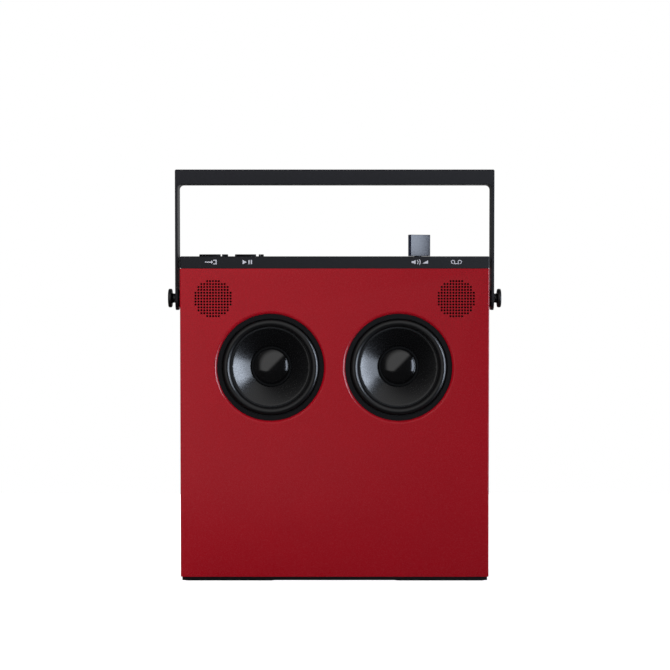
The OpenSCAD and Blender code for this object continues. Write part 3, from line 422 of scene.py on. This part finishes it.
def round_rims():
    """Rounds the front panel round both woofers, where it is drawn in."""
    panel = frame["nodes"]["front_panel"]
    mesh = panel.data
    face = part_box("front_panel")[0].y
    weights = mesh.attributes.new("bevel_weight_edge", "FLOAT", "EDGE")
    for side in SIDES:
        centre = middle(f"woofer_surround_{side}")
        rim = set()
        for vertex in mesh.vertices:
            off = math.hypot(vertex.co.x - centre.x, vertex.co.z - centre.z) - RIM_R
            if vertex.co.y < face + 0.01 * MM and abs(off) < RIM_BAND:
                rim.add(vertex.index)
        for edge in mesh.edges:
            if rim.issuperset(edge.vertices):
                weights.data[edge.index].value = 1.0
    bevel_marked(panel, RIM_ROUND, segments=6).use_clamp_overlap = False
    split_corners(panel)


def soften():
    """The small radii that the mouldings have at their edges."""
    nodes = frame["nodes"]
    round_rims()
    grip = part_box("handle")[1].z - GRIP_ZONE
    round_edges(nodes["handle"], HANDLE_ROUND, GRIP_ROUND, grip, grip + GRIP_ZONE / 2)
    round_edges(nodes["volume_knob"], KNOB_ROUND)
    for name in ("input_key", "play_key", "reel_disc"):
        round_edges(nodes[name], DISC_ROUND)


def dress_nodes():
    """Gives every CAD node the material of its slot, smooth shading and crisp edges."""
    slots = {part["node"]: part["material_slot"] for part in frame["record"]["subparts"]}
    for name, node in frame["nodes"].items():
        node.data.materials.clear()
        if name.startswith("woofer_surround"):
            look = roll_rubber(name)
        else:
            look = OWN_LOOKS.get(name, MATERIALS[slots[name]])
        node.data.materials.append(look)
        smooth(node)
    soften()


# ------------------------------------------------------------------ printed symbols

INK_T = 0.02 * MM  # thickness of the ink
SYMBOL_Z = 0.53  # of the deck's height


def arc(cx, cz, r, start, end):
    """Points along an arc, angles in degrees."""
    steps = 24
    turns = [math.radians(start + (end - start) * k / steps) for k in range(steps + 1)]
    return [(cx + r * math.cos(a), cz + r * math.sin(a)) for a in turns]


def band(cx, cz, r, width, start, end):
    """The outline of a curved stroke."""
    return arc(cx, cz, r + width / 2, start, end) + arc(cx, cz, r - width / 2, end, start)


def bar(x0, z0, x1, z1):
    """The outline of a straight stroke."""
    return [(x0, z0), (x1, z0), (x1, z1), (x0, z1)]


def printed(name, x, outlines):
    """Ink on the deck's front: outlines in millimetres about x and the symbols' height."""
    low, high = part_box("top_cap")
    front = low.y - INK_T
    z = low.z + SYMBOL_Z * (high.z - low.z)
    mesh = bmesh.new()
    for outline in outlines:
        verts = [mesh.verts.new((x + px * MM, front, z + pz * MM)) for px, pz in outline]
        mesh.faces.new(verts)
    bmesh.ops.recalc_face_normals(mesh, faces=mesh.faces)
    for face in mesh.faces:
        if face.normal.y > 0:
            face.normal_flip()
    data = bpy.data.meshes.new(name)
    mesh.to_mesh(data)
    mesh.free()
    made = bpy.data.objects.new(name, data)
    bpy.context.scene.collection.objects.link(made)
    data.materials.append(INK)
    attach(made, "cabinet")


def control_symbols():
    """A generic symbol on the deck's front below each control."""
    # An arrow into a frame
    printed("symbol_input", middle("input_key").x, [
        bar(-4.0, -0.3, 0.4, 0.3),
        [(0.2, -1.1), (1.6, 0.0), (0.2, 1.1)],
        bar(3.4, -1.5, 4.0, 1.5),
        bar(1.6, 0.95, 3.4, 1.5),
        bar(1.6, -1.5, 3.4, -0.95),
    ])
    # A triangle and two bars
    printed("symbol_play", middle("play_key").x, [
        [(-3.2, -1.4), (-0.4, 0.0), (-3.2, 1.4)],
        bar(0.8, -1.4, 1.6, 1.4),
        bar(2.4, -1.4, 3.2, 1.4),
    ])
    # A loudspeaker with waves, and a wedge
    printed("symbol_volume", middle("volume_shaft").x, [
        bar(-5.6, -0.7, -4.3, 0.7),
        [(-4.3, -0.7), (-2.9, -1.5), (-2.9, 1.5), (-4.3, 0.7)],
        band(-3.2, 0, 2.0, 0.5, -45, 45),
        band(-3.2, 0, 3.4, 0.5, -32, 32),
        [(1.6, -1.0), (5.6, -1.0), (5.6, 1.2)],
    ])
    # Two reels joined by a line
    printed("symbol_reel", middle("reel_disc").x, [
        band(-2.3, 0.1, 1.15, 0.5, 0, 360),
        band(2.3, 0.1, 1.15, 0.5, 0, 360),
        bar(-2.3, -1.35, 2.3, -0.85),
    ])


# ------------------------------------------------------------------ glue

BEAD_R = 0.9 * MM  # half the width of the adhesive round a dust cap


def glue_bead(side):
    """The ring of black adhesive where the dust cap meets the cone."""
    low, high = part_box(f"dust_cap_{side}")
    centre = middle(f"dust_cap_{side}")
    bpy.ops.mesh.primitive_torus_add(
        major_segments=96,
        minor_segments=12,
        major_radius=(high.x - low.x) / 2,
        minor_radius=BEAD_R,
        location=(centre.x, high.y - BEAD_R / 2, centre.z),
        rotation=(math.radians(90), 0, 0),
    )
    made = bpy.context.active_object
    made.name = f"glue_bead_{side}"
    made.data.shade_smooth()
    made.data.materials.append(GLUE)
    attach(made, f"woofer_{side}")


# ------------------------------------------------------------------ studio

ROOM_LEVEL = 0.36  # light of the room on every matt surface
WHITE = 1.0  # the backdrop, as the camera sees it
FLOOR_GLOW = 0.75  # what the lit floor lacks to look white to the camera
REFLECTED_FRONT = 1.05  # the pale wall and ceiling in front of the object, in reflections
REFLECTED_SIDES = 0.05
REFLECTED_BACKDROP = 0.5
REFLECTED_FLOOR = 0.04
LAMP = (0.76, 0.85, 1.0)  # the bluish white of the lamps on the right

# Where the room's bright parts fade in reflections, along the X, Y and Z of a direction
SKYLINE = (-0.2, 0.02)  # the front's lower edge, along Z less X
LEFT_END = (-0.82, -0.66)  # the front's left edge, along X
FRONT_END = (-0.68, -0.44)  # the front's edge overhead and on the right, along Y less FRONT_TURN X
FRONT_TURN = 0.25
FRONT_REST = 0.08  # the part of the front's light beyond that edge
BACKDROP_END = (0.3, 0.7)  # the backdrop's edge all round, along Y
BACKDROP_LEFT = (-0.06, 0.12)  # the edge of its dark left half, along X
BACKDROP_REST = 0.02  # its light there


def strengths(tree, plain, direct, mirrored):
    """plain for diffuse rays, direct for camera and transmission rays, mirrored for the others."""
    path = tree.nodes.new("ShaderNodeLightPath")
    camera_ray, through = path.outputs["Is Camera Ray"], path.outputs["Is Transmission Ray"]
    straight = maths(tree, "MAXIMUM", camera_ray, through)
    diffuse = path.outputs["Is Diffuse Ray"]
    others = maths(tree, "SUBTRACT", maths(tree, "SUBTRACT", 1.0, straight), diffuse)
    total = maths(tree, "MULTIPLY", diffuse, plain)
    total = maths(tree, "ADD", total, maths(tree, "MULTIPLY", straight, direct))
    return maths(tree, "ADD", total, maths(tree, "MULTIPLY", others, mirrored))


def studio_world():
    """A pale room with a white backdrop. In reflections most of it is dark.

    Their bright part lies in front. It ends below in a line that climbs from the left to the
    right, and fades out on the left, overhead and on the right.
    """
    world = bpy.data.worlds.new("studio")
    bpy.context.scene.world = world
    world.use_nodes = True
    tree = world.node_tree
    background = tree.nodes["Background"]
    background.inputs["Color"].default_value = (1.0, 1.0, 1.0, 1.0)
    where = tree.nodes.new("ShaderNodeTexCoord")
    axes = tree.nodes.new("ShaderNodeSeparateXYZ")
    tree.links.new(where.outputs["Generated"], axes.inputs["Vector"])
    x, y, z = (axes.outputs[k] for k in "XYZ")
    above = ramp(tree, maths(tree, "SUBTRACT", z, x), *SKYLINE, 0.0, 1.0)
    bright = maths(tree, "MULTIPLY", above, ramp(tree, x, *LEFT_END, 0.0, 1.0))
    turned = maths(tree, "SUBTRACT", y, maths(tree, "MULTIPLY", x, FRONT_TURN))
    bright = maths(tree, "MULTIPLY", bright, ramp(tree, turned, *FRONT_END, 1.0, FRONT_REST))
    front = ramp(tree, bright, 0.0, 1.0, REFLECTED_SIDES, REFLECTED_FRONT)
    half = ramp(tree, x, *BACKDROP_LEFT, BACKDROP_REST, REFLECTED_BACKDROP)
    backdrop = maths(tree, "MULTIPLY", ramp(tree, y, *BACKDROP_END, 0.0, 1.0), half)
    mirrored = maths(tree, "ADD", front, backdrop)
    tree.links.new(strengths(tree, ROOM_LEVEL, WHITE, mirrored), background.inputs["Strength"])


def table():
    """A pale table top that keeps the object's shadow, and shows white to the camera."""
    bpy.ops.mesh.primitive_plane_add(size=0.8, location=(0, 0, 0))
    made = bpy.context.active_object
    made.name = "floor"
    pale = bpy.data.materials.new("pale_floor")
    pale.use_nodes = True
    tree = pale.node_tree
    tree.nodes.clear()
    plain = tree.nodes.new("ShaderNodeBsdfDiffuse")
    plain.inputs["Color"].default_value = (0.8, 0.8, 0.81, 1.0)
    glow = tree.nodes.new("ShaderNodeEmission")
    lit = tree.nodes.new("ShaderNodeAddShader")
    tree.links.new(strengths(tree, 0.0, FLOOR_GLOW, 0.0), glow.inputs["Strength"])
    tree.links.new(plain.outputs[0], lit.inputs[0])
    tree.links.new(glow.outputs[0], lit.inputs[1])
    dim = tree.nodes.new("ShaderNodeEmission")
    dim.inputs["Strength"].default_value = REFLECTED_FLOOR
    path = tree.nodes.new("ShaderNodeLightPath")
    either = tree.nodes.new("ShaderNodeMixShader")
    tree.links.new(path.outputs["Is Glossy Ray"], either.inputs["Fac"])
    tree.links.new(lit.outputs[0], either.inputs[1])
    tree.links.new(dim.outputs[0], either.inputs[2])
    out = tree.nodes.new("ShaderNodeOutputMaterial")
    tree.links.new(either.outputs[0], out.inputs["Surface"])
    made.data.materials.append(pale)


def softbox(name, turn, rise, distance, size, watts, colour=(1, 1, 1)):
    """A soft lamp, turn degrees to the right of the front and rise metres above its aim."""
    aim = Vector((0, 0, 0.14))
    angle = math.radians(turn)
    data = bpy.data.lights.new(name, "AREA")
    data.shape = "RECTANGLE"
    data.size, data.size_y = size
    data.energy = watts
    data.color = colour
    made = bpy.data.objects.new(name, data)
    level = Vector((math.sin(angle), -math.cos(angle), 0)) * distance
    made.location = aim + level + Vector((0, 0, rise))
    made.rotation_euler = (aim - made.location).to_track_quat("-Z", "Y").to_euler()
    bpy.context.scene.collection.objects.link(made)
    return made


def keep_off(lamp, *names):
    """Keeps a lamp off some nodes, as a small flag on a stand does."""
    flagged = bpy.data.collections.new(f"{lamp.name}_flag")
    for name in names:
        flagged.objects.link(frame["nodes"][name])
    lamp.light_linking.receiver_collection = flagged
    for member in flagged.collection_objects:
        member.light_linking.link_state = "EXCLUDE"


def studio():
    """A table in the room, a large softbox on the right, and two fills that no surface mirrors.

    The narrow strip beside the softbox is there for its reflection only.
    """
    studio_world()
    table()
    strip = softbox("right_strip", 49, 0.05, 2.2, (0.5, 1.6), 60, LAMP)
    strip.visible_diffuse = False
    keep_off(strip, "dust_cap_left", "dust_cap_right")
    softbox("right_softbox", 79, 0.0, 2.2, (2.0, 1.5), 57, LAMP)
    fills = [
        softbox("left_fill", -42, 0.38, 0.62, (0.4, 0.4), 3.7),
        softbox("back_fill", 190, 1.3, 1.6, (1.2, 1.2), 22),
    ]
    for fill in fills:
        fill.visible_glossy = False


# ------------------------------------------------------------------ camera

CAMERA_Y = -1.2
CAMERA_TILT = 1.857  # degrees down
LENS = 91.9  # for a sensor 36 wide, both in millimetres
SHIFT = (0.0005, -0.0347)  # of the picture, in its own widths


def camera():
    """The photograph's view, from level with the deck's top."""
    data = bpy.data.cameras.new("camera")
    data.lens = LENS
    data.sensor_width = 36.0
    data.shift_x, data.shift_y = SHIFT
    made = bpy.data.objects.new("camera", data)
    made.location = (0, CAMERA_Y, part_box("top_cap")[1].z)
    made.rotation_euler = (math.radians(90 - CAMERA_TILT), 0, 0)
    bpy.context.scene.collection.objects.link(made)
    bpy.context.scene.camera = made


# ------------------------------------------------------------------ the scene

dress_nodes()
control_symbols()
for side in SIDES:
    glue_bead(side)
studio()
camera()
bpy.context.scene.view_settings.view_transform = "Standard"
